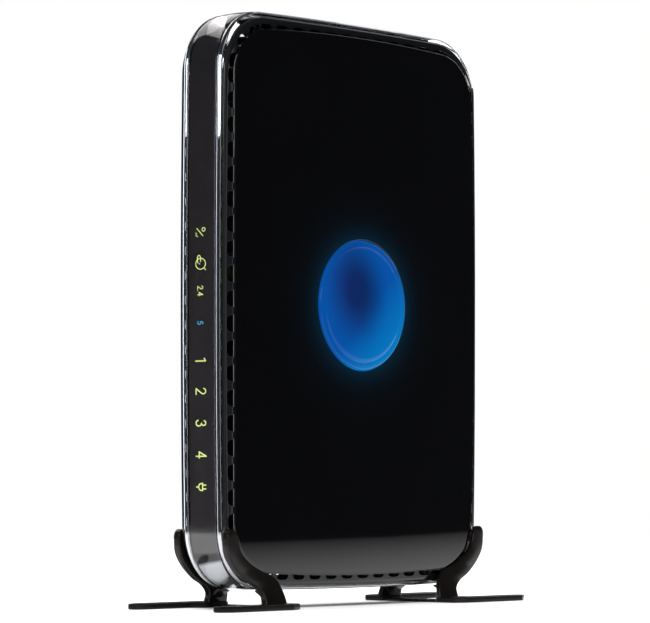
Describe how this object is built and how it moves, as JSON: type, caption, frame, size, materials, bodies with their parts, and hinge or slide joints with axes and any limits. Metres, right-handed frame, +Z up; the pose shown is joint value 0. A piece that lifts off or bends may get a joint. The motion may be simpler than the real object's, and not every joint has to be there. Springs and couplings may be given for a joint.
{
  "type": "wireless router",
  "caption": "Slim upright wireless router: clear edge band over a dark lit strip, gloss side panels, lit round push button, sockets on the back edge, and clip-on feet with flat toes.",
  "frame": {"origin": "on the floor, under the middle of the case", "axes": "+Z up; the narrow front edge with the lights faces -Y, the sockets face +Y, the round button is on the +X side"},
  "size_m": [0.054, 0.182, 0.2295],
  "materials": {
    "clear_plastic": "thick clear acrylic, polished",
    "dark_trim": "fine matte grain",
    "icon_window": "translucent printed window",
    "light_guide": "clear light guide",
    "black_shell": "satin black plastic",
    "black_gloss": "piano black",
    "blue_dome": "translucent blue plastic",
    "white_plastic": "white reflector plastic",
    "diffuser": "milky diffuser",
    "board_green": "solder mask over glass fibre",
    "lamp": "blue lamp epoxy",
    "spring_steel": "bright spring steel",
    "component_black": "moulded component body",
    "ferrite": "grey ferrite",
    "can_metal": "nickel silver",
    "sink_metal": "black anodised aluminium",
    "indicator_lamp": "small lamp epoxy",
    "jack_black": "socket plastic",
    "jack_yellow": "yellow socket plastic",
    "gold_contact": "gold plate",
    "button_grey": "satin plastic",
    "button_red": "red plastic",
    "screw_steel": "zinc plate",
    "foot_black": "satin black plastic"
  },
  "bodies": {
    "case": {"clear_wrap_band": "clear_plastic", "dark_trim_band": "dark_trim", "icon_windows": "icon_window", "light_guide_bar": "light_guide", "right_side_shell": "black_shell", "left_side_shell": "black_shell", "right_gloss_panel": "black_gloss", "left_gloss_panel": "black_gloss", "dome_carrier": "white_plastic", "dome_light_ring": "diffuser", "dome_lamp_board": "board_green", "dome_lamps": "lamp", "dome_return_spring": "spring_steel", "dome_switch": "component_black", "main_circuit_board": "board_green", "processor_chip": "component_black", "memory_chips": "component_black", "flash_chip": "component_black", "ethernet_switch_chip": "component_black", "lan_transformers": "component_black", "inductors": "ferrite", "crystals": "can_metal", "processor_heat_sink": "sink_metal", "radio_shield_low_band": "can_metal", "radio_shield_high_band": "can_metal", "radio_chip_low_band": "component_black", "radio_chip_high_band": "component_black", "capacitors": "can_metal", "antenna_low_1": "can_metal", "antenna_low_2": "can_metal", "antenna_high_1": "can_metal", "antenna_high_2": "can_metal", "indicator_lights": "indicator_lamp", "lan_jack_block": "jack_black", "wan_jack": "jack_yellow", "lan_contacts": "gold_contact", "wan_contacts": "gold_contact", "usb_socket_shell": "can_metal", "usb_socket_tongue": "jack_black", "power_inlet": "jack_black", "power_inlet_pin": "can_metal", "power_switch": "component_black", "reset_switch": "component_black", "rear_connector_panel": "black_shell", "shell_screws": "screw_steel", "board_screws": "screw_steel", "front_foot": "foot_black", "rear_foot": "foot_black"},
    "dome": {"dome_button": "blue_dome"},
    "power_key": {"power_button": "button_grey"},
    "reset_key": {"reset_button": "button_red"}
  },
  "joints": [
    {"name": "dome_press", "type": "slide", "parent": "case", "child": "dome", "axis": [-1, 0, 0], "range_m": [0, 0.0012], "stiffness_N_per_m": 1500, "springref_m": -0.0005},
    {"name": "power_press", "type": "slide", "parent": "case", "child": "power_key", "axis": [0, -1, 0], "range_m": [0, 0.002]},
    {"name": "reset_press", "type": "slide", "parent": "case", "child": "reset_key", "axis": [0, -1, 0], "range_m": [0, 0.0008], "stiffness_N_per_m": 800, "springref_m": -0.0005}
  ]
}
